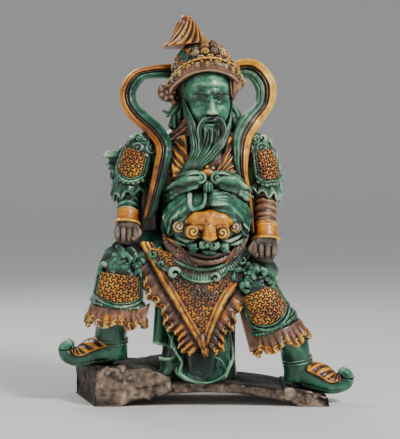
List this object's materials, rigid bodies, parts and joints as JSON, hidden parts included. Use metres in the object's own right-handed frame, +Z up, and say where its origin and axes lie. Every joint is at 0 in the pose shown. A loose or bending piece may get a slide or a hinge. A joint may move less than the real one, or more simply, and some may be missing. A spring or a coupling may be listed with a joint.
{
  "type": "roof ridge figure",
  "caption": "Glazed ceramic guardian in armour standing astride a curved ridge tile, fired as one piece, for the ridge of a tiled roof.",
  "frame": {"origin": "under the middle of the whole figure's box, on the plane that the tile's two feet stand on", "axes": "+Z up through the figure, -Y the way the figure faces, +X towards the lower foot, along the roof ridge"},
  "size_m": [0.5172, 0.1878, 0.6828],
  "materials": {
    "glazed_body": "green and amber lead glaze over a brown clay body, bare clay on the tile and the fists"
  },
  "bodies": {
    "root": {"ridge_figure": "glazed_body"}
  },
  "joints": []
}
